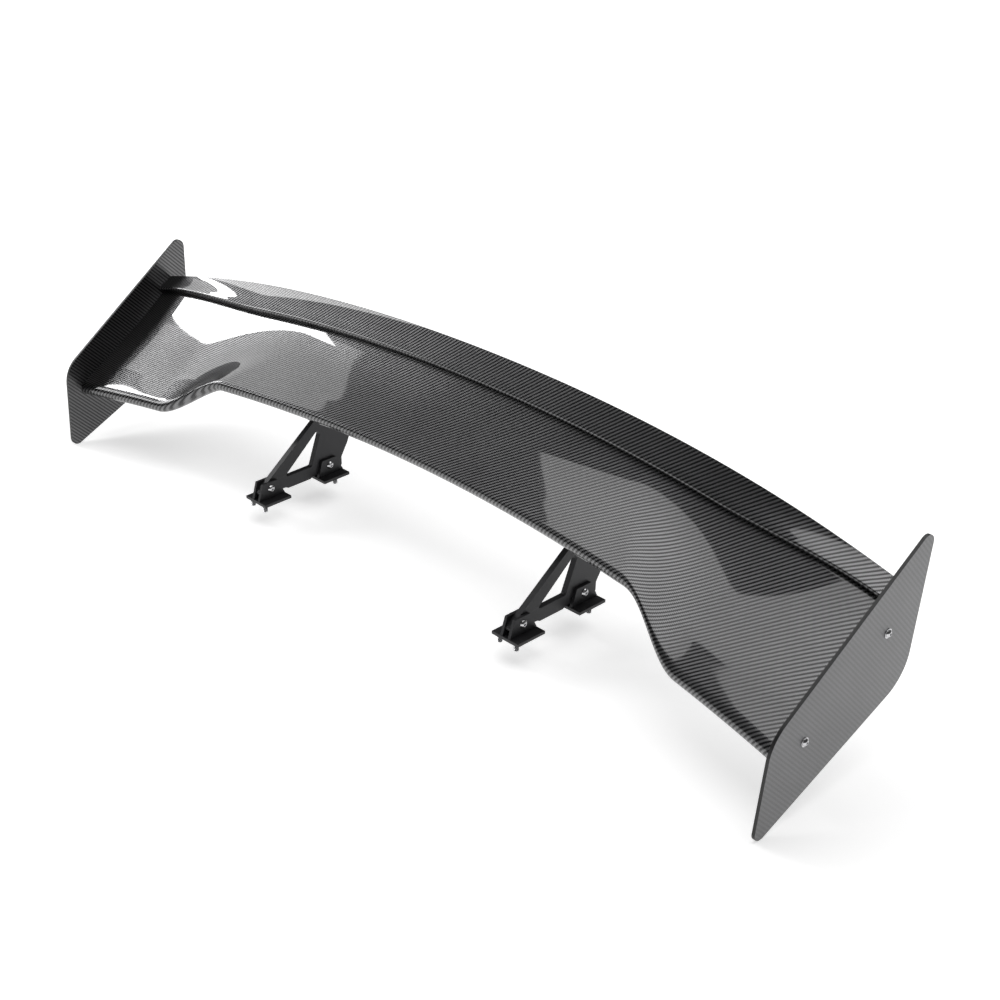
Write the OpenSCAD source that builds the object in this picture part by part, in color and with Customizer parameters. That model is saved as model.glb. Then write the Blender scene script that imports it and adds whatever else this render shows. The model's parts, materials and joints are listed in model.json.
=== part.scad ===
// Racing rear wing: slotted carbon main plane and flap between two end plates,
// carried by two A-frame stands on four tilting foot brackets.
// Origin: centre of the foot stud pattern, on the underside of the foot bases.
// +X to the right, -Y to the leading edge, +Z up.

/* [Wing] */
// Span between the inner faces of the end plates
span = 1600; // [1500:10:1700]
// Thickness of the carbon skins
skin_t = 2.2; // [1.8:0.1:3]
// Half of the main plane's greatest thickness
main_half_t = 13; // [12:0.5:15]
// Half of the flap's greatest thickness
flap_half_t = 4.6; // [4.2:0.1:5.5]
// Height that the leading edge drops outboard of the raised centre
step_drop = 60; // [40:1:65]
// Distance that the leading edge steps forward outboard of the raised centre
step_forward = 28; // [15:1:30]

/* [End plates] */
// Thickness of an end plate
plate_t = 5; // [4:0.5:6]
// Radius of the end plate bolts' shanks
plate_bolt_r = 3; // [3:0.5:4]

/* [Stands] */
// Distance of each stand from the middle of the span
stand_x = 301; // [280:1:320]
// Thickness of a stand plate
stand_t = 10; // [8:1:12]
// Radius of the stand and foot bolts' shanks
bolt_r = 4; // [3:0.5:4]
// Furthest that the wing pitches either way on the stands, in degrees
pitch_limit = 8; // [4:1:8]

/* [Feet] */
// Width of a foot base across the stand
foot_w = 54; // [50:1:60]
// Length of a foot base along the stand
foot_l = 56; // [52:1:60]
// Thickness of a foot base
foot_t = 5; // [4:0.5:6]
// Thickness of each upright ear
ear_t = 5; // [4:0.5:6]
// Length of a mounting stud below the base
stud_drop = 12; // [10:1:25]

/* [Hidden] */

$fn = 48;
half = span / 2;
glue = 0.15;            // bond line left round the inner parts
spar_gap = 0.8;         // filled bond line of the spars and the flap core
fit_gap = 0.05;         // radial clearance of a running fit
side_gap = 0.4;         // clearance on each side of a stand plate

// Stations along the half span, close together where the leading edge steps
half_x = concat([for (x = [0:60:360]) x], [for (x = [384:19:612]) x], [650, 700, 750, half]);
last = len(half_x) - 1;
stations = concat([for (i = [last:-1:1]) -half_x[i]], half_x);
main_n = 13;            // chord steps of a main plane skin
flap_n = 9;             // chord steps of a flap skin

// Side view positions are [y, z]
function ease(v) = let (c = min(max(v, 0), 1)) c * c * (3 - 2 * c);
function along(a, b, v) = a + (b - a) * v;
function unit(v) = v / norm(v);
function turned(v) = [-v[1], v[0]];
function flare(x) = ease((abs(x) - 500) / 300);

// Upper edge of the flap's trailing edge
function tail(x) = let (u = abs(x) / 800)
    [144 - 32 * pow(u, 2), 300 - 57.6 * pow(u, 2) - 18 * pow(u, 4)];
// Lowest forward point of the flap's nose
function flap_lip(x) = tail(x) + [-30, -45 + 22 * flare(x)];
// Upper edge of the main plane's trailing edge, under the flap's nose
function main_tail(x) = flap_lip(x) + [14, 1];
// Leading edge of the main plane before the step
function main_front(x) = let (u = abs(x) / 800)
    [4 - 86 * pow(u, 2), 150 - 33 * pow(u, 2)];
// Share of the step at a place on the surface, from 0 in the centre to 1 outboard
function step_share(x, t) = ease((abs(x) - 466 + 125 * t) / (136 + 150 * t));
function step_at(x, t) = step_share(x, t) * (1 - t) * [-step_forward, -step_drop];

// Half thickness along the chord: round nose, level middle, thin tail
function body_half(t, half_t, nose_t, tail_half) =
    half_t * sqrt(1 - pow(1 - min(t / nose_t, 1), 2))
    * (1 - (1 - tail_half / half_t) * pow(max(t - 0.25, 0) / 0.75, 1.4));
function main_half(t) = body_half(t, main_half_t, 0.075, 1.3);
function flap_half(t) = body_half(t, flap_half_t, 0.11, 1.1);
function sag(t) = pow(t, 1.25) * (1 - t) / 0.27;

function main_dir(x) = unit(main_tail(x) - main_front(x) - step_at(x, 0));
function main_mid(x, t) = along(main_front(x), main_tail(x), t) + step_at(x, t)
    - (9 + 4 * (1 - flare(x))) * sag(t) * turned(main_dir(x)) - 1.3 * t * turned(main_dir(x));
function flap_front(x) = flap_lip(x) + flap_half_t * [0.55, 0.84];
function flap_dir(x) = unit(tail(x) - flap_front(x));
function flap_mid(x, t) = along(flap_front(x), tail(x), t)
    - 2.5 * sag(t) * turned(flap_dir(x)) - 1.1 * t * turned(flap_dir(x));

// Point on a section: side is +1 above and -1 below the middle line, inset goes inwards
function main_at(x, t, side, inset = 0) =
    main_mid(x, t) + side * max(main_half(t) - inset, 0) * turned(main_dir(x));
function flap_at(x, t, side, inset = 0) =
    flap_mid(x, t) + side * max(flap_half(t) - inset, 0) * turned(flap_dir(x));
function at_x(x, p) = [x, p[0], p[1]];
function steps(n) = [for (i = [0:n]) pow(i / n, 1.7)];

// Ring of one skin: outside from tail to nose, then inside back to the tail
function main_ring(x, side) = let (ts = steps(main_n))
    concat([for (i = [main_n:-1:1]) at_x(x, main_at(x, ts[i], side))], [at_x(x, main_mid(x, 0))],
        [for (i = [1:main_n]) at_x(x, main_at(x, ts[i], side, skin_t))]);
function flap_ring(x, side) = let (ts = steps(flap_n))
    concat([for (i = [flap_n:-1:1]) at_x(x, flap_at(x, ts[i], side))], [at_x(x, flap_mid(x, 0))],
        [for (i = [1:flap_n]) at_x(x, flap_at(x, ts[i], side, skin_t))]);
// Ring of a solid bar between two chord positions
function main_bar(x, t0, t1, inset, n) = let (ts = [for (i = [0:n]) along(t0, t1, i / n)])
    concat([for (i = [n:-1:0]) at_x(x, main_at(x, ts[i], 1, inset))],
        [for (i = [0:n]) at_x(x, main_at(x, ts[i], -1, inset))]);
function flap_bar(x, t0, t1, inset, n) = let (ts = [for (i = [0:n]) along(t0, t1, i / n)])
    concat([for (i = [n:-1:0]) at_x(x, flap_at(x, ts[i], 1, inset))],
        [for (i = [0:n]) at_x(x, flap_at(x, ts[i], -1, inset))]);

// Closed solid through equal rings that fold about their middle, so each end is a strip of quads
module loft(rings, flip = false) {
    m = len(rings[0]);
    n = len(rings);
    h = floor(m / 2);
    sides = [for (i = [0:n - 2], j = [0:m - 1]) let (k = (j + 1) % m)
        each [[i * m + j, i * m + k, (i + 1) * m + k], [i * m + j, (i + 1) * m + k, (i + 1) * m + j]]];
    strip = [for (j = [0:h - 1]) let (a = j, b = j + 1, c = m - 2 - j, d = m - 1 - j)
        each (b == c ? [[a, b, d]] : [[a, b, c], [a, c, d]])];
    far = [for (f = strip) [for (v = f) v + (n - 1) * m]];
    near = [for (f = strip) [f[2], f[1], f[0]]];
    faces = concat(sides, near, far);
    polyhedron([for (r = rings) each r],
        flip ? [for (f = faces) [f[2], f[1], f[0]]] : faces, convexity = 8);
}

// Cylinder along X, from x0 to x1, at a side view position
module rod_x(x0, x1, p, r) {
    translate([min(x0, x1), p[0], p[1]])
        rotate([0, 90, 0])
            cylinder(h = abs(x1 - x0), r = r);
}

// Plate standing across X with a side view outline
module plate_x(x0, x1, outline) {
    translate([x0, 0, 0])
        rotate([90, 0, 90])
            linear_extrude(x1 - x0)
                polygon(outline);
}

// Points of an outline whose corners [y, z, radius] are rounded by true-radius arcs
function corner_arc(a, b, c, r) = let (
    p = unit(a - b), q = unit(c - b), half_angle = acos(p * q) / 2,
    centre = b + unit(p + q) * r / sin(half_angle),
    s = atan2((b + p * r / tan(half_angle) - centre)[1], (b + p * r / tan(half_angle) - centre)[0]),
    e = atan2((b + q * r / tan(half_angle) - centre)[1], (b + q * r / tan(half_angle) - centre)[0]),
    sweep = e - s > 180 ? e - s - 360 : e - s < -180 ? e - s + 360 : e - s,
    n = max(2, ceil(abs(sweep) / 7)))
    [for (i = [0:n]) centre + r * [cos(s + sweep * i / n), sin(s + sweep * i / n)]];
function rounded(pts) = let (n = len(pts)) [for (i = [0:n - 1])
    let (a = pts[(i + n - 1) % n], b = pts[i], c = pts[(i + 1) % n])
    each (b[2] > 0 ? corner_arc([a[0], a[1]], [b[0], b[1]], [c[0], c[1]], b[2]) : [[b[0], b[1]]])];

// ---- Wing body ----

module main_skin(side) {
    loft([for (x = stations) main_ring(x, side)], side < 0);
}

module main_upper_skin() {
    color([0.09, 0.09, 0.1])
        main_skin(1);
}

module main_lower_skin() {
    color([0.07, 0.07, 0.08])
        difference() {
            main_skin(-1);
            for (s = [-1, 1])
                at_screws(s)
                    screw_bore($x, $p, -3, 6, screw_r + 0.3);
        }
}

rib_w = 14;                             // thickness of an end rib
spar_end = half - rib_w - 1;            // where the spars stop, short of the ribs
spar_x = concat([-spar_end], [for (i = [1:len(stations) - 2]) stations[i]], [spar_end]);

module spar(t0, t1) {
    loft([for (x = spar_x) main_bar(x, t0, t1, skin_t + spar_gap, 1)]);
}

module front_spar() {
    color([0.16, 0.16, 0.17])
        spar(0.18, 0.215);
}

module rear_spar() {
    color([0.16, 0.16, 0.17])
        spar(0.66, 0.69);
}

front_bolt = [-69, 79];                 // end plate bolt centres in side view
rear_bolt = [79, 171.5];
insert_r = 4.5;
insert_l = 12;
bond = 0.9;                             // filled bond line of the flat-sided parts

module end_rib(s) {
    inner = half - rib_w;
    section = main_bar(half - rib_w / 2, 0.05, 0.8, skin_t + bond, 8);
    difference() {
        plate_x(s > 0 ? inner : -half, s > 0 ? half : -inner, [for (p = section) [p[1], p[2]]]);
        rod_x(s * (half - insert_l), s * (half + 1), front_bolt, insert_r);
    }
}

module end_rib_left() {
    color([0.62, 0.63, 0.65])
        end_rib(-1);
}

module end_rib_right() {
    color([0.62, 0.63, 0.65])
        end_rib(1);
}

module rib_inserts() {
    color([0.75, 0.62, 0.35])
        for (s = [-1, 1], p = [front_bolt, rear_bolt])
            difference() {
                rod_x(s * (half - insert_l), s * half, p, insert_r - 0.02);
                rod_x(s * (half - insert_l - 1), s * (half + 1), p, plate_bolt_r + 0.02);
            }
}

block_w = 44;                           // width of the solid blocks over the stands
screw_t = [0.34, 0.56];                 // chord positions of the bracket screws
screw_x = 15;                           // distance of the screws from the stand's plane
screw_r = 2.5;
screw_l = 16;

// Side view frame of the wing's underside over a stand
under_dir = unit(main_at(stand_x, 0.6, -1) - main_at(stand_x, 0.3, -1));
under_up = turned(under_dir);

// Cylinder square to the wing's underside, starting at a side view position
module screw_bore(x, p, from, to, r) {
    translate([x, p[0], p[1]])
        rotate([atan2(under_up[1], under_up[0]) - 90, 0, 0])
            translate([0, 0, from])
                cylinder(h = to - from, r = r);
}

module at_screws(s) {
    for (dx = [-screw_x, screw_x], t = screw_t) {
        $p = main_at(stand_x, t, -1);
        $x = s * stand_x + dx;
        children();
    }
}

module mount_block(s) {
    difference() {
        loft([for (x = [s * stand_x - block_w / 2, s * stand_x + block_w / 2])
            main_bar(x, 0.235, 0.645, skin_t + glue + 0.1, 6)]);
        at_screws(s)
            screw_bore($x, $p, -2, screw_l + 0.5, screw_r + 0.02);
    }
}

module mount_block_left() {
    color([0.6, 0.61, 0.63])
        mount_block(-1);
}

module mount_block_right() {
    color([0.6, 0.61, 0.63])
        mount_block(1);
}

module flap_skin(side) {
    loft([for (x = stations) flap_ring(x, side)], side < 0);
}

module flap_upper_skin() {
    color([0.1, 0.1, 0.11])
        flap_skin(1);
}

module flap_lower_skin() {
    color([0.08, 0.08, 0.09])
        flap_skin(-1);
}

module flap_core() {
    color([0.85, 0.8, 0.6])
        loft([for (x = stations) flap_bar(x * (half - 1) / half, 0.14, 0.5, skin_t + spar_gap / 2, 3)]);
}

// Outline that holds the slot open, bonded behind the main plane's tail and under the flap
bracket_w = 6;
function bond_line(x, t0, t1, on_flap, off) = [for (i = [0:4]) let (t = along(t0, t1, i / 4))
    on_flap ? flap_at(x, t, -1, -off - 0.15) : main_at(x, t, -1, -off)];
function slot_outline(x, off, lower) = concat(bond_line(x, 0.76, 0.985, false, off),
    [main_at(x, 0.985, -1, -off) + [4, 4]], bond_line(x, 0.3, 0.75, true, off),
    [flap_at(x, 0.78, -1, -7)], lower, [main_at(x, 0.76, -1, -9)]);

module slot_bracket(x) {
    plate_x(x - bracket_w / 2, x + bracket_w / 2, slot_outline(x, glue + 0.1, []));
}

// End bracket: the same outline, widened round the insert of the rear end plate bolt
module end_bracket(s) {
    x = half - rib_w / 2;
    lobe = [for (a = [10:-20:-130]) rear_bolt + 9 * [cos(a), sin(a)]];
    difference() {
        plate_x(s > 0 ? half - rib_w : -half, s > 0 ? half : rib_w - half, slot_outline(x, bond, lobe));
        rod_x(s * (half - insert_l), s * (half + 1), rear_bolt, insert_r);
    }
}

module end_bracket_left() {
    color([0.12, 0.12, 0.13])
        end_bracket(-1);
}

module end_bracket_right() {
    color([0.12, 0.12, 0.13])
        end_bracket(1);
}

module slot_bracket_left() {
    color([0.12, 0.12, 0.13])
        slot_bracket(-400);
}

module slot_bracket_centre() {
    color([0.12, 0.12, 0.13])
        slot_bracket(0);
}

module slot_bracket_right() {
    color([0.12, 0.12, 0.13])
        slot_bracket(400);
}

// ---- End plates ----

plate_outline = rounded([[149, 300.6, 14], [139.8, 80.3, 60], [-149, -46.9, 13], [-136.4, 109.3, 58]]);

module endplate(s) {
    x0 = min(s * half, s * (half + plate_t));
    difference() {
        plate_x(x0, x0 + plate_t, plate_outline);
        for (p = [front_bolt, rear_bolt])
            rod_x(x0 - 1, x0 + plate_t + 1, p, plate_bolt_r + 0.3);
    }
}

module endplate_left() {
    color([0.12, 0.12, 0.13])
        endplate(-1);
}

module endplate_right() {
    color([0.12, 0.12, 0.13])
        endplate(1);
}

washer_t = 1.2;
button_r = 5.25;
button_h = 3.3;

// Button head of radius r and height h, facing +Z, with a hexagon socket
module button_head(r, h, key) {
    difference() {
        intersection() {
            cylinder(h = h, r = r);
            translate([0, 0, h - (r * r + h * h) / (2 * h)])
                sphere(r = (r * r + h * h) / (2 * h) + 0.35);
        }
        translate([0, 0, h * 0.45])
            cylinder(h = h, r = key, $fn = 6);
    }
}

module endplate_bolt(s, p) {
    seat = half + plate_t + washer_t;
    rod_x(s * (half - insert_l + 1), s * seat, p, plate_bolt_r);
    translate([s * seat, p[0], p[1]])
        rotate([0, s * 90, 0])
            button_head(button_r, button_h, 2);
}

module endplate_front_bolts() {
    color([0.8, 0.8, 0.82])
        for (s = [-1, 1])
            endplate_bolt(s, front_bolt);
}

module endplate_rear_bolts() {
    color([0.8, 0.8, 0.82])
        for (s = [-1, 1])
            endplate_bolt(s, rear_bolt);
}

module endplate_washers() {
    color([0.75, 0.75, 0.77])
        for (s = [-1, 1], p = [front_bolt, rear_bolt])
            difference() {
                rod_x(s * (half + plate_t), s * (half + plate_t + washer_t), p, 6.75);
                rod_x(s * half, s * (half + plate_t + 3), p, plate_bolt_r + 0.2);
            }
}

// ---- Brackets and stands ----

pivot = [86, 130];                      // pitch axis on the stand tops
lock = [132, 164];                      // bolt in the curved pitch slot
lock_r = norm(lock - pivot);
lock_angle = atan2(lock[1] - pivot[1], lock[0] - pivot[0]);
tab_x = stand_t / 2 + side_gap;         // inner face of a bracket tab from the stand's plane
tab_t = 5;
pad_t = 6;
pad_w = 44;

module wing_bracket(s) {
    cx = s * stand_x;
    top = bond_line(stand_x, 0.3, 0.72, false, bond);
    base = bond_line(stand_x, 0.3, 0.72, false, bond + pad_t);
    tab = rounded([[pivot[0] - 17, pivot[1] - 15, 12], [pivot[0] + 16, pivot[1] - 16, 12],
        [lock[0] + 17, lock[1] - 12, 12], [base[4][0], base[4][1], 0], [base[3][0], base[3][1], 0],
        [base[2][0], base[2][1], 0], [base[1][0], base[1][1], 0]]);
    difference() {
        union() {
            plate_x(cx - pad_w / 2, cx + pad_w / 2,
                concat([for (i = [4:-1:0]) top[i]], base));
            for (side = [-1, 1])
                plate_x(cx + side * (tab_x + tab_t / 2) - tab_t / 2,
                    cx + side * (tab_x + tab_t / 2) + tab_t / 2,
                    [for (p = tab) p + 0.5 * under_up]);
        }
        for (p = [pivot, lock])
            rod_x(cx - 20, cx + 20, p, bolt_r + 0.02);
        at_screws(s)
            screw_bore($x, $p, -20, 6, screw_r + 0.3);
    }
}

module wing_bracket_left() {
    color([0.11, 0.11, 0.12])
        wing_bracket(-1);
}

module wing_bracket_right() {
    color([0.11, 0.11, 0.12])
        wing_bracket(1);
}

// Screws from below through the bracket pads into the blocks
head_gap = pad_t + bond + 0.5;         // from the wing's underside to the screw heads
module bracket_screws() {
    color([0.7, 0.7, 0.72])
        for (s = [-1, 1])
            at_screws(s) {
                screw_bore($x, $p, -head_gap - 3, screw_l - 1, screw_r);
                screw_bore($x, $p, -head_gap - 3, -head_gap, screw_r * 1.8);
            }
}

head_h = 4.4;
stack = tab_x + tab_t;                  // half width over both tabs or both ears

// Bolt across a clevis, head towards +X, threaded end towards -X
module cross_bolt(x, p, half_stack, r) {
    rod_x(x - half_stack - r * 2.1, x + half_stack, p, r);
    translate([x + half_stack, p[0], p[1]])
        rotate([0, 90, 0])
            button_head(r * 1.65, head_h, r * 0.7);
}

module hex_nut(x, p, r) {
    difference() {
        translate([x - r * 1.6, p[0], p[1]])
            rotate([0, 90, 0])
                cylinder(h = r * 1.6, r = r * 1.85, $fn = 6);
        rod_x(x - r * 2, x + 1, p, r + 0.02);
    }
}

module pivot_bolts() {
    color([0.78, 0.78, 0.8])
        for (s = [-1, 1])
            cross_bolt(s * stand_x, pivot, stack, bolt_r);
}

module pitch_lock_bolts() {
    color([0.78, 0.78, 0.8])
        for (s = [-1, 1])
            cross_bolt(s * stand_x, lock, stack, bolt_r);
}

module pivot_nuts() {
    color([0.7, 0.7, 0.72])
        for (s = [-1, 1])
            hex_nut(s * stand_x - stack, pivot, bolt_r);
}

module pitch_lock_nuts() {
    color([0.7, 0.7, 0.72])
        for (s = [-1, 1])
            hex_nut(s * stand_x - stack, lock, bolt_r);
}

foot_y = [-56.5, 72.5];                 // cross bolts of the front and rear feet
axle_z = 22;                            // height of the cross bolts above the bases

stand_outer = rounded([
    [-72, 10, 3], [-22, 10, 0], [-16, 7, 0], [32, 7, 0], [38, 10, 0], [103, 10, 3],
    [103, 26, 6], [118, 50, 20], [146, 116, 20], [152, 178, 14], [113, 178, 12],
    [70, 148, 14], [70, 127, 6], [-80, 17.5, 5]]);
stand_window = rounded([[-24, 29, 3], [37, 29, 3], [66, 103, 6]]);

module stand(s) {
    cx = s * stand_x;
    difference() {
        plate_x(cx - stand_t / 2, cx + stand_t / 2, stand_outer);
        plate_x(cx - stand_t, cx + stand_t, stand_window);
        for (y = foot_y)
            rod_x(cx - stand_t, cx + stand_t, [y, axle_z], bolt_r + fit_gap);
        rod_x(cx - stand_t, cx + stand_t, pivot, bolt_r + fit_gap);
        // Curved slot for the pitch lock bolt
        for (a = [-pitch_limit, pitch_limit])
            rod_x(cx - stand_t, cx + stand_t,
                pivot + lock_r * [cos(lock_angle + a), sin(lock_angle + a)], bolt_r + 0.4);
        translate([cx - stand_t, pivot[0], pivot[1]])
            rotate([90, 0, 90])
                rotate([0, 0, lock_angle - pitch_limit])
                    rotate_extrude(angle = 2 * pitch_limit)
                        translate([lock_r - bolt_r - 0.4, 0])
                            square([2 * bolt_r + 0.8, 2 * stand_t]);
    }
}

module stand_left() {
    color([0.11, 0.11, 0.12])
        stand(-1);
}

module stand_right() {
    color([0.11, 0.11, 0.12])
        stand(1);
}

// ---- Feet ----

stud_x = 17;                            // studs either side of the stand
stud_y = 76.5;                          // studs in front of and behind the origin
stud_r = 4;
clinch_r = 5;                           // pressed-in head of a stud
undercut = 0.5;                         // relief below the base

module foot(s, end) {
    cx = s * stand_x;
    cy = foot_y[end];
    ear = [[cy - 27, foot_t - 1], [cy - 26, foot_t + 1.5], [cy - 17, axle_z + 12],
        [cy + 14, axle_z + 12], [cy + 28, foot_t + 1.5], [cy + 28, foot_t - 1]];
    difference() {
        union() {
            translate([cx - foot_w / 2, cy - 27, 0])
                cube([foot_w, foot_l, foot_t]);
            for (side = [-1, 1])
                plate_x(cx + side * (tab_x + ear_t / 2) - ear_t / 2,
                    cx + side * (tab_x + ear_t / 2) + ear_t / 2, ear);
        }
        rod_x(cx - 20, cx + 20, [cy, axle_z], bolt_r + 0.02);
        for (dx = [-stud_x, stud_x])
            translate([cx + dx, end == 0 ? -stud_y : stud_y, -1])
                cylinder(h = foot_t + 0.02, r = clinch_r + 0.02);
    }
}

module foot_colour() {
    color([0.1, 0.1, 0.11])
        children();
}

module foot_front_left() {
    foot_colour()
        foot(-1, 0);
}

module foot_rear_left() {
    foot_colour()
        foot(-1, 1);
}

module foot_front_right() {
    foot_colour()
        foot(1, 0);
}

module foot_rear_right() {
    foot_colour()
        foot(1, 1);
}

module foot_bolt(s, end) {
    color([0.8, 0.8, 0.82])
        cross_bolt(s * stand_x, [foot_y[end], axle_z], tab_x + ear_t, bolt_r);
}

module foot_nut(s, end) {
    color([0.7, 0.7, 0.72])
        hex_nut(s * stand_x - tab_x - ear_t, [foot_y[end], axle_z], bolt_r);
}

// Two clinch studs of one foot, each pressed up into a blind hole
module foot_studs(s, end) {
    color([0.78, 0.78, 0.8])
        for (dx = [-stud_x, stud_x])
            translate([s * stand_x + dx, end == 0 ? -stud_y : stud_y, -stud_drop])
                rotate_extrude()
                    polygon([[0, 0], [stud_r - 1, 0], [stud_r, 1], [stud_r, stud_drop - undercut],
                        [stud_r - 0.4, stud_drop - undercut], [stud_r - 0.4, stud_drop],
                        [clinch_r, stud_drop], [clinch_r, stud_drop + foot_t - 1], [0, stud_drop + foot_t - 1]]);
}

module bolt_front_left() foot_bolt(-1, 0);
module bolt_rear_left() foot_bolt(-1, 1);
module bolt_front_right() foot_bolt(1, 0);
module bolt_rear_right() foot_bolt(1, 1);
module nut_front_left() foot_nut(-1, 0);
module nut_rear_left() foot_nut(-1, 1);
module nut_front_right() foot_nut(1, 0);
module nut_rear_right() foot_nut(1, 1);
module studs_front_left() foot_studs(-1, 0);
module studs_rear_left() foot_studs(-1, 1);
module studs_front_right() foot_studs(1, 0);
module studs_rear_right() foot_studs(1, 1);

main_upper_skin();
main_lower_skin();
front_spar();
rear_spar();
end_rib_left();
end_rib_right();
mount_block_left();
mount_block_right();
flap_upper_skin();
flap_lower_skin();
flap_core();
slot_bracket_left();
slot_bracket_centre();
slot_bracket_right();
end_bracket_left();
end_bracket_right();
endplate_left();
endplate_right();
rib_inserts();
endplate_front_bolts();
endplate_rear_bolts();
endplate_washers();
wing_bracket_left();
wing_bracket_right();
bracket_screws();
pivot_bolts();
pitch_lock_bolts();
pivot_nuts();
pitch_lock_nuts();
stand_left();
stand_right();
foot_front_left();
foot_rear_left();
foot_front_right();
foot_rear_right();
bolt_front_left();
bolt_rear_left();
bolt_front_right();
bolt_rear_right();
nut_front_left();
nut_rear_left();
nut_front_right();
nut_rear_right();
studs_front_left();
studs_rear_left();
studs_front_right();
studs_rear_right();
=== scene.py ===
import json
import math

import bmesh
import bpy
from mathutils import Matrix, Vector


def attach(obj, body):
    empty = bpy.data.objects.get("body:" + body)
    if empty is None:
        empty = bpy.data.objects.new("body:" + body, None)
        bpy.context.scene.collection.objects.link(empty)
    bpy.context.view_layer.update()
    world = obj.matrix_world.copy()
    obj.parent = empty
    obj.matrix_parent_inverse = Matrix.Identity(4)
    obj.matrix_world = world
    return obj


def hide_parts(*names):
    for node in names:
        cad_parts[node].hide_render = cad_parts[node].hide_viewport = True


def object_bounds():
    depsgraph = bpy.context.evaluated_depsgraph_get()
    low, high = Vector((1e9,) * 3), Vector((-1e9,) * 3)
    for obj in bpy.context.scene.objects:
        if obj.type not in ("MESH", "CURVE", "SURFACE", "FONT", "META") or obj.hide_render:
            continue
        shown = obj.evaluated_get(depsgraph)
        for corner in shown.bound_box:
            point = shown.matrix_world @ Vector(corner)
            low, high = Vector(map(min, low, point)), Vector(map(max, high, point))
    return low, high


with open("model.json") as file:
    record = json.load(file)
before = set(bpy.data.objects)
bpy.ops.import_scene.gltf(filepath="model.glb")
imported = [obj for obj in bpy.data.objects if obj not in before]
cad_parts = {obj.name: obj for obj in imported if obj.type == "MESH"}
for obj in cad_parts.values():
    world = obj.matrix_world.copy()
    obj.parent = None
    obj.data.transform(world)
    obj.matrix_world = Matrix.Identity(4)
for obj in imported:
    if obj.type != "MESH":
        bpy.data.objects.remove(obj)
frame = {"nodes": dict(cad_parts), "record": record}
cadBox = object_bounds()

print("frame loaded:", len(frame["nodes"]), "nodes")


class Field:
    # One number in a node tree, so that a rule reads as it does on paper
    def __init__(self, tree, socket):
        self.tree = tree
        self.socket = socket

    def combine(self, kind, *others):
        maths = self.tree.nodes.new("ShaderNodeMath")
        maths.operation = kind
        for place, value in enumerate((self, *others)):
            if isinstance(value, Field):
                self.tree.links.new(value.socket, maths.inputs[place])
            else:
                maths.inputs[place].default_value = value
        return Field(self.tree, maths.outputs[0])

    def __add__(self, other):
        return self.combine("ADD", other)

    def __sub__(self, other):
        return self.combine("SUBTRACT", other)

    def __mul__(self, other):
        return self.combine("MULTIPLY", other)

    def __truediv__(self, other):
        return self.combine("DIVIDE", other)

    def __pow__(self, other):
        return self.combine("POWER", other)

    def __neg__(self):
        return self * -1

    __radd__ = __add__
    __rmul__ = __mul__

    def less(self, other):
        return self.combine("LESS_THAN", other)

    def more(self, other):
        return self.combine("GREATER_THAN", other)

    def least(self, other):
        return self.combine("MINIMUM", other)

    def most(self, other):
        return self.combine("MAXIMUM", other)

    def size(self):
        return self.combine("ABSOLUTE")

    def root(self):
        return self.combine("SQRT")


def ease(value):
    # From 0 to 1 with level ends
    held = value.most(0.0).least(1.0)
    return held * held * (held * -2 + 3)


# A side view position or direction: y and z as fields
class Place:
    def __init__(self, y, z):
        self.y = y
        self.z = z

    def __add__(self, other):
        return Place(self.y + other.y, self.z + other.z)

    def __sub__(self, other):
        return Place(self.y - other.y, self.z - other.z)

    def scaled(self, factor):
        return Place(self.y * factor, self.z * factor)

    def length(self):
        return (self.y * self.y + self.z * self.z).root()

    def unit(self):
        size = self.length()
        return Place(self.y / size, self.z / size)

    def turned(self):
        return Place(-self.z, self.y)


def newTree(name, sizes):
    # A geometry tree with one named input for each size
    tree = bpy.data.node_groups.new(name, "GeometryNodeTree")
    tree.interface.new_socket("Geometry", in_out="INPUT", socket_type="NodeSocketGeometry")
    for label, value in sizes.items():
        kind = {int: "NodeSocketInt", float: "NodeSocketFloat"}.get(type(value), "NodeSocketObject")
        item = tree.interface.new_socket(label, in_out="INPUT", socket_type=kind)
        if kind != "NodeSocketObject":
            item.default_value = value
    tree.interface.new_socket("Geometry", in_out="OUTPUT", socket_type="NodeSocketGeometry")
    start = tree.nodes.new("NodeGroupInput")
    end = tree.nodes.new("NodeGroupOutput")
    return tree, start, end


def finishTree(tree, end, geometry, material):
    realise = tree.nodes.new("GeometryNodeRealizeInstances")
    paint = tree.nodes.new("GeometryNodeSetMaterial")
    paint.inputs["Material"].default_value = material
    tree.links.new(geometry, realise.inputs[0])
    tree.links.new(realise.outputs[0], paint.inputs["Geometry"])
    tree.links.new(paint.outputs[0], end.inputs[0])


def growMesh(name, tree, sizes, base=None):
    # Runs a tree on a small mesh and keeps the plain result
    seed = bpy.data.objects.new(name + "Seed", base or bpy.data.meshes.new(name + "Seed"))
    bpy.context.scene.collection.objects.link(seed)
    modifier = seed.modifiers.new("grow", "NODES")
    modifier.node_group = tree
    sockets = {s.name: s.identifier for s in tree.interface.items_tree if s.in_out == "INPUT"}
    for label, value in sizes.items():
        modifier[sockets[label]] = value
    depsgraph = bpy.context.evaluated_depsgraph_get()
    mesh = bpy.data.meshes.new_from_object(seed.evaluated_get(depsgraph))
    seed.modifiers.remove(modifier)
    bpy.data.objects.remove(seed)
    mesh.name = name
    return mesh


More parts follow.
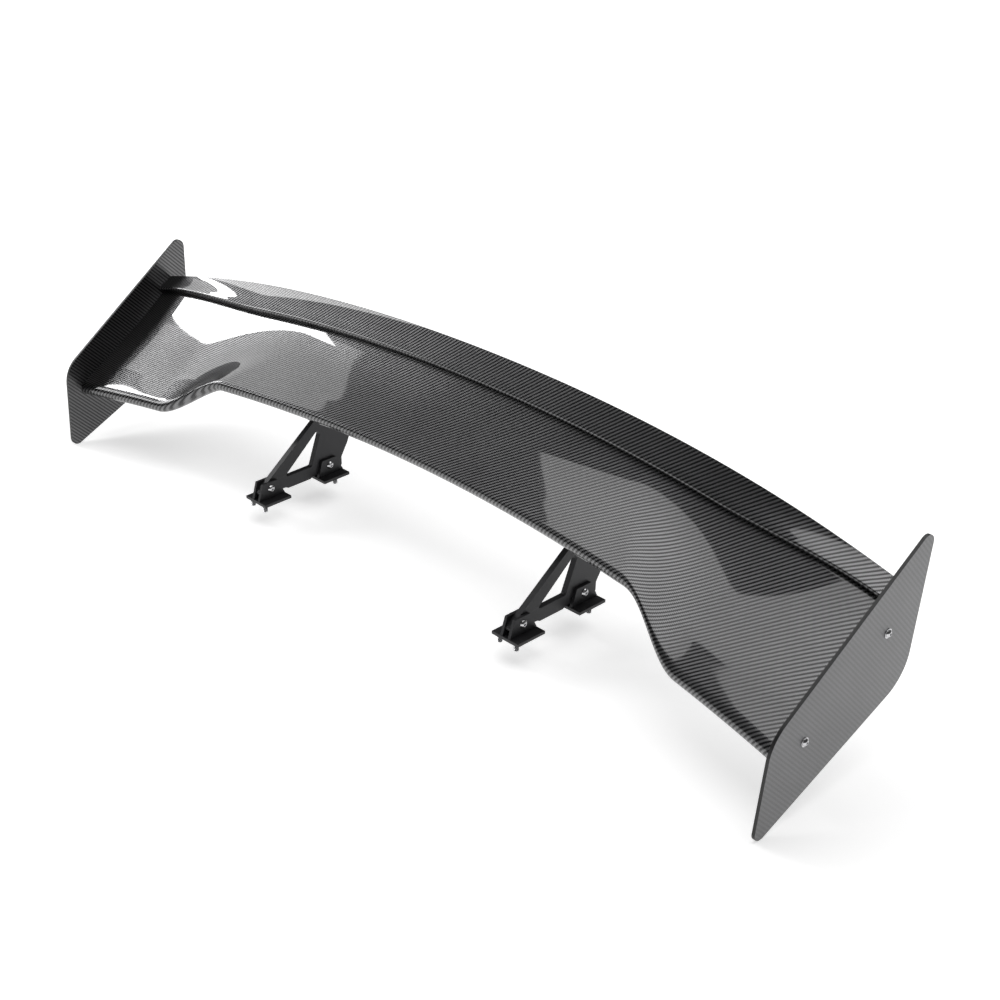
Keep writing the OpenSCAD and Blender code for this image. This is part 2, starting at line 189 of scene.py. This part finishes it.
def addPiece(name, mesh, body, nodes, smoothAngle=40, flatArea=1.0):
    piece = bpy.data.objects.new(name, mesh)
    bpy.context.scene.collection.objects.link(piece)
    tidy = bmesh.new()
    tidy.from_mesh(mesh)
    bmesh.ops.remove_doubles(tidy, verts=tidy.verts, dist=2e-6)
    bmesh.ops.dissolve_degenerate(tidy, edges=tidy.edges, dist=1e-7)
    bmesh.ops.recalc_face_normals(tidy, faces=tidy.faces)
    tidy.to_mesh(mesh)
    tidy.free()
    if "custom_normal" in mesh.attributes:      # normals kept from the frame no longer fit
        mesh.attributes.remove(mesh.attributes["custom_normal"])
    mesh.shade_smooth()
    mesh.set_sharp_from_angle(angle=math.radians(smoothAngle))
    for polygon in mesh.polygons:
        polygon.use_smooth = polygon.area < flatArea
    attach(piece, body)
    if nodes:
        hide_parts(*nodes)
    return piece


twill = {
    "towWidth": 0.0019,         # one yarn of the cloth
    # the warp is painted lighter than the weft: a painted sheen for the fibres' reflection along their
    # length; the weft keeps carbon's own near-black
    "warpColour": (0.165, 0.165, 0.168, 1),
    "weftColour": (0.004, 0.004, 0.005, 1),
    # painted shade in the hollows between yarns
    "gapColour": (0.006, 0.006, 0.006, 1),
    "depth": 0.00006,
}


def newMaterial(name, roughness=0.4, metallic=0.0, colour=(0.5, 0.5, 0.5, 1)):
    material = bpy.data.materials.new(name)
    material.use_nodes = True
    shader = material.node_tree.nodes["Principled BSDF"]
    shader.inputs["Base Color"].default_value = colour
    shader.inputs["Roughness"].default_value = roughness
    shader.inputs["Metallic"].default_value = metallic
    return material, material.node_tree, shader


def mixColour(tree, share, low, high):
    mix = tree.nodes.new("ShaderNodeMix")
    mix.data_type = "RGBA"
    factor = [s for s in mix.inputs if s.name == "Factor" and s.type == "VALUE"][0]
    a = [s for s in mix.inputs if s.name == "A" and s.type == "RGBA"][0]
    b = [s for s in mix.inputs if s.name == "B" and s.type == "RGBA"][0]
    for socket, value in ((factor, share), (a, low), (b, high)):
        if isinstance(value, Field):
            tree.links.new(value.socket, socket)
        elif hasattr(value, "is_linked"):
            tree.links.new(value, socket)
        else:
            socket.default_value = value
    return [s for s in mix.outputs if s.type == "RGBA"][0]


def twillMaterial(name, across, along, contrast=1.0, coatRoughness=0.03, roughness=0.38, plain=0.0):
    # across and along say which coordinates the cloth follows: an attribute, or two object axes
    material, tree, shader = newMaterial(name, roughness=roughness, metallic=1.0)
    if across == "weave":
        source = tree.nodes.new("ShaderNodeAttribute")
        source.attribute_name = "weave"
        split = tree.nodes.new("ShaderNodeSeparateXYZ")
        tree.links.new(source.outputs["Vector"], split.inputs[0])
        u, v = Field(tree, split.outputs["X"]), Field(tree, split.outputs["Y"])
    else:
        source = tree.nodes.new("ShaderNodeTexCoord")
        split = tree.nodes.new("ShaderNodeSeparateXYZ")
        tree.links.new(source.outputs["Object"], split.inputs[0])
        u, v = Field(tree, split.outputs[across]), Field(tree, split.outputs[along])
    u, v = u / twill["towWidth"] + 4000.0, v / twill["towWidth"] + 4000.0
    column, row = u.combine("FLOOR"), v.combine("FLOOR")
    onTop = (column + row + 8000.0).combine("MODULO", 4.0).less(1.9)     # warp over weft
    acrossWarp, acrossWeft = u - column, v - row
    # Height over one yarn: round across it, and dipping where it goes under
    warpRound = (acrossWarp - 0.5) * (acrossWarp - 0.5) * -4.0 + 1.0
    weftRound = (acrossWeft - 0.5) * (acrossWeft - 0.5) * -4.0 + 1.0
    crown = weftRound + (warpRound - weftRound) * onTop
    wave = ((u + v + 8000.5) * (math.pi / 2)).combine("SINE") * 0.5 + 0.5
    height = crown ** 0.6 * 0.8 + wave * 0.35
    # plain draws both yarns towards their mean, from 0 (full contrast) to 1 (one even colour)
    pairs = list(zip(twill["weftColour"], twill["warpColour"]))
    weft = [low + (0.5 * (low + high) - low) * plain for low, high in pairs]
    warp = [high + (0.5 * (low + high) - high) * plain for low, high in pairs]
    # Painted sheen: the yarns on top take the lighter warp colour
    towSheen = mixColour(tree, onTop, weft, warp)
    # Painted shade: the colour darkens where a yarn's crown falls off into the hollow beside it
    edge = (crown * 3.0).least(1.0)
    colour = mixColour(tree, edge, twill["gapColour"], towSheen)
    # Slight unevenness from yarn to yarn
    noise = tree.nodes.new("ShaderNodeTexNoise")
    noise.inputs["Scale"].default_value = 9.0
    noise.inputs["Detail"].default_value = 3.0
    tree.links.new(source.outputs["Vector" if across == "weave" else "Object"], noise.inputs["Vector"])
    uneven = Field(tree, noise.outputs["Fac"]) * 0.5 + 0.75
    scale = tree.nodes.new("ShaderNodeVectorMath")
    scale.operation = "SCALE"
    tree.links.new(colour, scale.inputs[0])
    tree.links.new((uneven * contrast).socket, scale.inputs["Scale"])
    tree.links.new(scale.outputs[0], shader.inputs["Base Color"])
    bump = tree.nodes.new("ShaderNodeBump")
    bump.inputs["Strength"].default_value = 0.55
    bump.inputs["Distance"].default_value = twill["depth"]
    tree.links.new(height.socket, bump.inputs["Height"])
    tree.links.new(bump.outputs[0], shader.inputs["Normal"])
    shader.inputs["Coat Weight"].default_value = 1.0
    shader.inputs["Coat Roughness"].default_value = coatRoughness
    shader.inputs["Coat IOR"].default_value = 1.5
    shader.inputs["Specular IOR Level"].default_value = 0.6
    return material


def grainMaterial(name, colour, roughness, metallic, grain=0.06, scale=400.0, relief=0.15):
    # Bare or painted metal with a fine, even grain
    material, tree, shader = newMaterial(name, roughness, metallic, colour)
    source = tree.nodes.new("ShaderNodeTexCoord")
    noise = tree.nodes.new("ShaderNodeTexNoise")
    noise.inputs["Scale"].default_value = scale
    noise.inputs["Detail"].default_value = 2.0
    tree.links.new(source.outputs["Object"], noise.inputs["Vector"])
    value = Field(tree, noise.outputs["Fac"])
    tree.links.new((value * (2 * grain) + (roughness - grain)).socket, shader.inputs["Roughness"])
    darker = tuple(c * 0.8 for c in colour[:3]) + (1,)
    tree.links.new(mixColour(tree, value, darker, colour), shader.inputs["Base Color"])
    if relief:
        bump = tree.nodes.new("ShaderNodeBump")
        bump.inputs["Strength"].default_value = relief
        bump.inputs["Distance"].default_value = 0.00005
        tree.links.new(value.socket, bump.inputs["Height"])
        tree.links.new(bump.outputs[0], shader.inputs["Normal"])
    return material


finishes = {
    "skin": twillMaterial("glossTwillSkin", "weave", "weave"),
    "plate": twillMaterial("glossTwillPlate", "Y", "Z", contrast=0.9, coatRoughness=0.08, plain=0.3),
    "plateOuter": twillMaterial("satinTwillPlate", "Y", "Z", contrast=2.1, coatRoughness=0.4,
                                roughness=0.7, plain=0.85),
    "rim": grainMaterial("resinRim", (0.008, 0.008, 0.008, 1), 0.45, 0.0),
    "moulded": grainMaterial("mouldedComposite", (0.02, 0.02, 0.021, 1), 0.5, 0.0),
    "anodised": grainMaterial("blackAnodised", (0.022, 0.022, 0.024, 1), 0.42, 0.35),
    "machined": grainMaterial("machinedAluminium", (0.72, 0.72, 0.73, 1), 0.32, 1.0),
    "stainless": grainMaterial("stainlessFastener", (0.66, 0.66, 0.67, 1), 0.22, 1.0, scale=900.0),
    "brass": grainMaterial("turnedBrass", (0.72, 0.52, 0.24, 1), 0.3, 1.0),
    "foam": grainMaterial("rigidFoam", (0.78, 0.7, 0.5, 1), 0.8, 0.0, scale=900.0, relief=0.5),
}
print("materials made:", len(finishes))

wing = {
    "Half span": 0.8,
    "Step drop": 0.060,
    "Step forward": 0.028,
    "Main half thickness": 0.013,
    "Flap half thickness": 0.0046,
    "Span steps": 441,
    "Ring steps": 121,
}


def wingRule(tree, start, element):
    # Side view positions of one element's surface, from the span position and the place on the ring
    size = {s.name: Field(tree, s) for s in start.outputs if s.name}
    position = tree.nodes.new("GeometryNodeInputPosition")
    split = tree.nodes.new("ShaderNodeSeparateXYZ")
    tree.links.new(position.outputs[0], split.inputs[0])
    across, around = Field(tree, split.outputs[0]), Field(tree, split.outputs[1])
    mm = 0.001
    capStart = 1.0 - 3.0 / wing["Span steps"]
    share = (across * 2).size()
    isCap = share.more(capStart + 1.0 / wing["Span steps"])
    x = (across * (2 / capStart)).most(-1.0).least(1.0) * size["Half span"]
    u = x.size() / 0.8
    # around runs -0.5 to 0.5: tail, upper side, nose, lower side, tail
    ring = (around * (2 / (1.0 - 2.5 / wing["Ring steps"]))).size()
    isTail = ring.more(1.0 + 0.1 / wing["Ring steps"])
    t = ring.least(1.0) ** 1.7
    side = around.less(0.0) * 2 - 1
    solid = (isCap * -1 + 1) * (isTail * -1 + 1)

    tail = Place(u * u * (-32 * mm) + 144 * mm, u * u * (-57.6 * mm) + u * u * u * u * (-18 * mm) + 300 * mm)
    flare = ease((x.size() - 0.5) / 0.3)
    lip = Place(tail.y - 30 * mm, tail.z - 45 * mm + flare * (22 * mm))
    if element == "flap":
        half = size["Flap half thickness"]
        front = Place(lip.y + half * 0.55, lip.z + half * 0.84)
        end = tail
        nose, tailHalf, hollow, droop = 0.11, 1.1 * mm, 2.5 * mm, 1.1 * mm
        shift = None
    else:
        half = size["Main half thickness"]
        end = Place(lip.y + 14 * mm, lip.z + 1 * mm)
        front = Place(u * u * (-86 * mm) + 4 * mm, u * u * (-33 * mm) + 150 * mm)
        nose, tailHalf, hollow, droop = 0.075, 1.3 * mm, (flare * -4 + 13) * mm, 1.3 * mm
        stepShare = ease((x.size() - 0.466 + t * 0.125) / (t * 0.150 + 0.136))
        rootShare = ease((x.size() - 0.466) / 0.136)
        shift = Place(-size["Step forward"], -size["Step drop"])
    line = end - front
    if shift:
        line = line - shift.scaled(rootShare)
    chord = line.length()
    normal = line.unit().turned()
    sag = t ** 1.25 * (t * -1 + 1) / 0.27
    middle = front.scaled(t * -1 + 1) + end.scaled(t)
    if shift:
        middle = middle + shift.scaled(stepShare * (t * -1 + 1))
    middle = middle - normal.scaled(sag * hollow + t * droop)
    noseRound = ((t / nose).least(1.0) * -1 + 1)
    thick = half * (noseRound * noseRound * -1 + 1).most(0.0).root()
    thin = ((t - 0.25).most(0.0) / 0.75) ** 1.4
    thick = thick * (thin * (half * -1 + tailHalf) / half + 1)
    spot = middle + normal.scaled(side * thick * solid)
    # The cloth's own coordinates: along the span, and forward from the tail, over the nose and back
    forward = chord * (t * -1 + 1) * side.more(0.0) + (chord + chord * t) * side.less(0.0)
    return x, spot, forward


def wingTree(element, material):
    tree, start, end = newTree(element + "Surface", wing)
    grid = tree.nodes.new("GeometryNodeMeshGrid")
    tree.links.new(start.outputs["Span steps"], grid.inputs["Vertices X"])
    tree.links.new(start.outputs["Ring steps"], grid.inputs["Vertices Y"])
    grid.inputs["Size X"].default_value = 1.0
    grid.inputs["Size Y"].default_value = 1.0
    x, spot, forward = wingRule(tree, start, element)
    cloth = tree.nodes.new("ShaderNodeCombineXYZ")
    tree.links.new(x.socket, cloth.inputs[0])
    tree.links.new(forward.socket, cloth.inputs[1])
    store = tree.nodes.new("GeometryNodeStoreNamedAttribute")
    store.data_type = "FLOAT_VECTOR"
    store.domain = "POINT"
    store.inputs["Name"].default_value = "weave"
    tree.links.new(grid.outputs["Mesh"], store.inputs["Geometry"])
    tree.links.new(cloth.outputs[0], store.inputs["Value"])
    place = tree.nodes.new("ShaderNodeCombineXYZ")
    for socket, value in zip(place.inputs, (x, spot.y, spot.z)):
        tree.links.new(value.socket, socket)
    move = tree.nodes.new("GeometryNodeSetPosition")
    tree.links.new(store.outputs[0], move.inputs["Geometry"])
    tree.links.new(place.outputs[0], move.inputs["Position"])
    finishTree(tree, end, move.outputs[0], material)
    return tree


for element in ("main", "flap"):
    skins = (element + "_upper_skin", element + "_lower_skin")
    sizes = dict(wing)
    if element == "flap":
        sizes["Ring steps"] = 73
    tree = wingTree(element, finishes["skin"])
    mesh = growMesh(element + "Plane", tree, sizes)
    piece = addPiece(element + "Plane", mesh, "wing", skins)
    print(element, "plane:", len(mesh.polygons), "faces")

edges = {
    "endplate": 0.0007,
    "stand": 0.0006,
    "foot": 0.0006,
    "bracket": 0.0005,
    "fastener": 0.00025,
}


def softened(node, body, finish, width, faces=()):
    # A copy of a CAD node with its doubles merged and its edges rounded
    mesh = frame["nodes"][node].data.copy()
    work = bmesh.new()
    work.from_mesh(mesh)
    bmesh.ops.remove_doubles(work, verts=work.verts, dist=1e-6)
    bmesh.ops.dissolve_limit(work, angle_limit=math.radians(0.5), verts=work.verts, edges=work.edges)
    sharp = [e for e in work.edges if e.is_manifold and e.calc_face_angle(0) > math.radians(35)]
    bmesh.ops.bevel(work, geom=sharp, offset=width, segments=2, profile=0.5, affect="EDGES",
                    clamp_overlap=True)
    work.to_mesh(mesh)
    work.free()
    mesh.materials.clear()
    mesh.materials.append(finish)
    for extra in faces:
        mesh.materials.append(extra)
    for polygon in mesh.polygons:
        outward = polygon.normal.x * (1 if polygon.center.x > 0 else -1)
        # An endplate has its own finish on the rim and on the outer face
        polygon.material_index = 0 if not faces or outward < -0.5 else 1 if outward > 0.5 else 2
    name = "".join(part.capitalize() if i else part for i, part in enumerate(node.split("_")))
    return addPiece(name, mesh, body, [node], smoothAngle=30, flatArea=1.5e-5)


nodeBody = {n: b for b, members in frame["record"]["behaviour"]["bodies"].items() for n in members}
for node, body in nodeBody.items():
    if node in ("endplate_left", "endplate_right"):
        softened(node, body, finishes["plate"], edges["endplate"], (finishes["plateOuter"], finishes["rim"]))
    elif node.startswith("stand_"):
        softened(node, body, finishes["anodised"], edges["stand"])
    elif node.startswith("foot_"):
        softened(node, body, finishes["anodised"], edges["foot"])
    elif node.startswith("wing_bracket"):
        softened(node, body, finishes["anodised"], edges["bracket"])
    elif "nut" in node or node.endswith(("screws", "washers")):
        softened(node, body, finishes["stainless"], edges["fastener"])
print("frame pieces softened")

fastener = {
    "Around": 25,
    "Rings": 260,
    "Radius": 0.003,
    "Length": 0.02,
    "Thread length": 0.02,
    "Pitch": 0.001,
    "Depth": 0.0006,
}
boltKinds = {
    "endplate": {"headHeight": 0.0033, "key": 0.0020, "radius": 0.0030, "pitch": 0.0010},
    "cross": {"headHeight": 0.0044, "key": 0.0028, "radius": 0.0040, "pitch": 0.00125},
    "stud": {"headHeight": 0.0030, "key": 0.0, "radius": 0.0040, "pitch": 0.00125},
}


def headMesh(name, radius, height, key, sides=48):
    # A button head standing on z = 0 with a hexagon socket, or a plain disc when there is no key
    work = bmesh.new()
    profile = []
    if key:
        dome = (radius * radius + height * height) / (2 * height) + 0.00035
        for step in range(9):
            reach = radius - (radius - key * 1.2) * step / 8
            crown = math.sqrt(dome * dome - reach * reach) + height - dome + 0.00035
            profile.append((reach, min(height, crown)))
        profile = [(radius, 0.0)] + profile
    else:
        profile = [(radius, 0.0), (radius, height - 0.0003), (radius - 0.0003, height)]
    rings = []
    for reach, level in profile:
        rings.append([work.verts.new((reach * math.cos(a), reach * math.sin(a), level))
                      for a in (2 * math.pi * k / sides for k in range(sides))])
    if key:
        for level in (profile[-1][1], height * 0.45):
            ring = []
            for k in range(sides):
                a = 2 * math.pi * k / sides
                within = (a + math.pi / 6) % (math.pi / 3) - math.pi / 6
                reach = key * math.cos(math.pi / 6) / math.cos(abs(within) - math.pi / 6)
                ring.append(work.verts.new((reach * math.cos(a), reach * math.sin(a), level)))
            rings.append(ring)
    for low, high in zip(rings, rings[1:]):
        for k in range(sides):
            work.faces.new((low[k], low[(k + 1) % sides], high[(k + 1) % sides], high[k]))
    work.faces.new(rings[-1])
    work.faces.new(rings[0][::-1])
    mesh = bpy.data.meshes.new(name)
    work.to_mesh(mesh)
    work.free()
    return mesh


def boltTree(name, material):
    # A threaded shank grown by rule, joined to its head and set at every point, facing along "facing"
    sizes = dict(fastener, Head=None)
    tree, start, end = newTree(name, sizes)
    size = {s.name: Field(tree, s) for s in start.outputs if s.name}
    grid = tree.nodes.new("GeometryNodeMeshGrid")
    tree.links.new(start.outputs["Around"], grid.inputs["Vertices X"])
    tree.links.new(start.outputs["Rings"], grid.inputs["Vertices Y"])
    position = tree.nodes.new("GeometryNodeInputPosition")
    split = tree.nodes.new("ShaderNodeSeparateXYZ")
    tree.links.new(position.outputs[0], split.inputs[0])
    turn = Field(tree, split.outputs[0]) + 0.5
    down = (Field(tree, split.outputs[1]) * -1 + 0.5) * 1.02 - 0.01
    along = down.most(0.0).least(1.0) * size["Length"]
    isEnd = down.less(0.0) + down.more(1.0)
    threaded = along.more(size["Length"] - size["Thread length"])
    phase = (along / size["Pitch"] + turn).combine("FRACT")
    groove = ((phase - 0.5).size() * 2) * threaded * size["Depth"]
    taper = ((size["Length"] - along) / (size["Depth"] * 1.5)).least(1.0)
    reach = (size["Radius"] - groove - (taper * -1 + 1) * size["Depth"]) * (isEnd * -1 + 1)
    angle = turn * (2 * math.pi)
    place = tree.nodes.new("ShaderNodeCombineXYZ")
    across, up = angle.combine("COSINE") * reach, angle.combine("SINE") * reach
    for socket, value in zip(place.inputs, (across, up, -along)):
        tree.links.new(value.socket, socket)
    move = tree.nodes.new("GeometryNodeSetPosition")
    tree.links.new(grid.outputs["Mesh"], move.inputs["Geometry"])
    tree.links.new(place.outputs[0], move.inputs["Position"])
    head = tree.nodes.new("GeometryNodeObjectInfo")
    tree.links.new(start.outputs["Head"], head.inputs["Object"])
    whole = tree.nodes.new("GeometryNodeJoinGeometry")
    tree.links.new(move.outputs[0], whole.inputs[0])
    tree.links.new(head.outputs["Geometry"], whole.inputs[0])
    facing = tree.nodes.new("GeometryNodeInputNamedAttribute")
    facing.data_type = "FLOAT_VECTOR"
    facing.inputs["Name"].default_value = "facing"
    align = tree.nodes.new("FunctionNodeAlignRotationToVector")
    align.axis = "Z"
    tree.links.new(facing.outputs[0], align.inputs["Vector"])
    row = tree.nodes.new("GeometryNodeInstanceOnPoints")
    tree.links.new(start.outputs["Geometry"], row.inputs["Points"])
    tree.links.new(whole.outputs[0], row.inputs["Instance"])
    tree.links.new(align.outputs[0], row.inputs["Rotation"])
    finishTree(tree, end, row.outputs[0], material)
    return tree


def islands(node):
    # The box of each loose part of a CAD node
    work = bmesh.new()
    work.from_mesh(frame["nodes"][node].data)
    bmesh.ops.remove_doubles(work, verts=work.verts, dist=1e-6)
    left, boxes = set(work.verts), []
    while left:
        part, edge = set(), [left.pop()]
        while edge:
            vertex = edge.pop()
            part.add(vertex)
            for link in vertex.link_edges:
                other = link.other_vert(vertex)
                if other in left:
                    left.discard(other)
                    edge.append(other)
        corners = [[pick(v.co[axis] for v in part) for axis in range(3)] for pick in (min, max)]
        boxes.append([Vector(c) for c in corners])
    work.free()
    return sorted(boxes, key=lambda b: tuple(b[0]))


def growBolts(name, body, nodes, kind, facingOf):
    # facingOf gives the way the head looks, from the middle of the part
    sizes = boltKinds[kind]
    boxes = [box for node in nodes for box in islands(node)]
    seeds, ways, length, headRadius = [], [], 0.0, 0.0
    for low, high in boxes:
        middle = (low + high) / 2
        way = Vector(facingOf(middle))
        reach = (high - low) / 2
        half = abs(way.dot(reach))
        length = 2 * half - sizes["headHeight"]
        headRadius = sorted(reach[axis] for axis in range(3) if abs(way[axis]) < 0.5)[0]
        seeds.append(middle + way * (half - sizes["headHeight"]))
        ways.append(way)
    base = bpy.data.meshes.new(name + "Points")
    base.from_pydata(seeds, [], [])
    store = base.attributes.new("facing", "FLOAT_VECTOR", "POINT")
    for index, way in enumerate(ways):
        store.data[index].vector = way
    headShape = headMesh(name + "Head", headRadius, sizes["headHeight"], sizes["key"])
    head = bpy.data.objects.new(name + "Head", headShape)
    bpy.context.scene.collection.objects.link(head)
    values = dict(fastener, Head=head, Radius=sizes["radius"], Length=length, Pitch=sizes["pitch"])
    values["Thread length"] = length * (1.0 if kind == "stud" else 0.45)
    values["Rings"] = int(length / sizes["pitch"] * 8)
    mesh = growMesh(name, boltTree(name + "Tree", finishes["stainless"]), values, base)
    bpy.data.objects.remove(head)
    piece = addPiece(name, mesh, body, nodes, smoothAngle=28)
    print(name + ":", len(boxes), "set,", len(mesh.polygons), "faces")
    return piece


growBolts("endplateBolts", "wing", ["endplate_front_bolts", "endplate_rear_bolts"], "endplate",
          lambda middle: (1 if middle.x > 0 else -1, 0, 0))
growBolts("pitchBolts", "wing", ["pivot_bolts", "pitch_lock_bolts"], "cross", lambda middle: (1, 0, 0))
for corner in ("front_left", "rear_left", "front_right", "rear_right"):
    end, side = corner.split("_")
    label = end.capitalize() + side.capitalize()
    growBolts("axle" + label, "foot_" + corner, ["bolt_" + corner], "cross", lambda middle: (1, 0, 0))
    growBolts("studs" + label, "foot_" + corner, ["studs_" + corner], "stud", lambda middle: (0, 0, 1))

plain = {
    "front_spar": "moulded", "rear_spar": "moulded", "slot_bracket_left": "moulded",
    "slot_bracket_centre": "moulded", "slot_bracket_right": "moulded", "end_bracket_left": "moulded",
    "end_bracket_right": "moulded", "end_rib_left": "machined", "end_rib_right": "machined",
    "mount_block_left": "machined", "mount_block_right": "machined", "flap_core": "foam",
    "rib_inserts": "brass",
}
for node, finish in plain.items():
    slots = frame["nodes"][node].material_slots
    for slot in slots:
        slot.material = finishes[finish]
for node, piece in frame["nodes"].items():
    if node not in plain:
        for slot in piece.material_slots:
            slot.material = finishes["stainless" if "bolt" in node or "nut" in node else "anodised"]

stage = {
    "floorSize": 8.0,
    "floorColour": (0.86, 0.86, 0.86, 1),
    "nearGlow": 0.56,
    "farGlow": 1.0,
    "glowReach": (0.9, 2.4),
    "worldColour": (1.0, 1.0, 1.0, 1),
    "worldStrength": 0.06,
    "seenStrength": 1.0,
}

floorMesh = bpy.data.meshes.new("floor")
reach = stage["floorSize"]
low = cadBox[0][2]
corners = [(x * reach, y * reach, low) for x, y in ((-1, -1), (1, -1), (1, 1), (-1, 1))]
floorMesh.from_pydata(corners, [], [(0, 1, 2, 3)])
floor = bpy.data.objects.new("floor", floorMesh)
bpy.context.scene.collection.objects.link(floor)
floorMaterial, floorTree, floorShader = newMaterial("paleFloor", roughness=0.9, colour=stage["floorColour"])
floorShader.inputs["Emission Color"].default_value = (1, 1, 1, 1)
spot = floorTree.nodes.new("ShaderNodeTexCoord")
distance = floorTree.nodes.new("ShaderNodeVectorMath")
distance.operation = "LENGTH"
fade = floorTree.nodes.new("ShaderNodeMapRange")
fade.inputs["From Min"].default_value, fade.inputs["From Max"].default_value = stage["glowReach"]
fade.inputs["To Min"].default_value = stage["nearGlow"]
fade.inputs["To Max"].default_value = stage["farGlow"]
floorTree.links.new(spot.outputs["Object"], distance.inputs[0])
floorTree.links.new(distance.outputs["Value"], fade.inputs["Value"])
floorTree.links.new(fade.outputs["Result"], floorShader.inputs["Emission Strength"])
floorMesh.materials.append(floorMaterial)

world = bpy.data.worlds.new("studio")
world.use_nodes = True
background = world.node_tree.nodes["Background"]
background.inputs["Color"].default_value = stage["worldColour"]
# Seen directly the surroundings are white, while their light stays dim
rays = world.node_tree.nodes.new("ShaderNodeLightPath")
strength = world.node_tree.nodes.new("ShaderNodeMapRange")
strength.inputs["To Min"].default_value = stage["worldStrength"]
strength.inputs["To Max"].default_value = stage["seenStrength"]
world.node_tree.links.new(rays.outputs["Is Camera Ray"], strength.inputs["Value"])
world.node_tree.links.new(strength.outputs["Result"], background.inputs["Strength"])
bpy.context.scene.world = world

# Each soft box: name, place, aim (or its turn in degrees when it hangs level), width, height, power
softBoxes = [
    ("ceilingLeft", (-4.16, 0.44, 2.2), -20.0, 3.84, 1.49, 34),
    ("ceilingRight", (0.31, 0.80, 2.2), -15.5, 2.62, 3.32, 52),
    ("sideStrip", (-5.03, -1.05, 2.91), (-4.30, 2.75, -0.26), 2.34, 0.53, 74),
    ("edgeStrip", (-3.65, -1.67, 1.71), (-1.58, -0.06, 0.25), 2.10, 0.65, 26),
]
for name, spot, aim, width, height, power in softBoxes:
    lamp = bpy.data.lights.new(name, "AREA")
    lamp.shape = "RECTANGLE"
    lamp.size = width
    lamp.size_y = height
    lamp.energy = power
    box = bpy.data.objects.new(name, lamp)
    box.location = spot
    if isinstance(aim, tuple):
        box.rotation_euler = (Vector(aim) - Vector(spot)).to_track_quat("-Z", "Y").to_euler()
    else:
        box.rotation_euler = (0, 0, math.radians(aim))
    bpy.context.scene.collection.objects.link(box)

lens = {
    "place": (1.6518, -1.4347, 1.2109),
    "heading": 51.22,           # degrees, turned left from +Y
    "downward": 34.82,
    "roll": -2.55,
    "focal": 55.75,
    "shift": (0.1351, 0.2092),
}
heading, downward, roll = (math.radians(lens[k]) for k in ("heading", "downward", "roll"))
ahead = Vector((-math.sin(heading) * math.cos(downward), math.cos(heading) * math.cos(downward),
                -math.sin(downward)))
level = Vector((math.cos(heading), math.sin(heading), 0))
upright = level.cross(ahead)
right = math.cos(roll) * level + math.sin(roll) * upright
up = -math.sin(roll) * level + math.cos(roll) * upright
camera = bpy.data.objects.new("camera", bpy.data.cameras.new("camera"))
camera.data.lens = lens["focal"]
camera.data.sensor_width = 36
camera.data.shift_x, camera.data.shift_y = lens["shift"]
camera.data.clip_end = 50
camera.matrix_world = Matrix.Translation(lens["place"]) @ Matrix((right, up, -ahead)).transposed().to_4x4()
bpy.context.scene.collection.objects.link(camera)
bpy.context.scene.camera = camera
bpy.context.scene.view_settings.view_transform = "Standard"

print("scene ready")
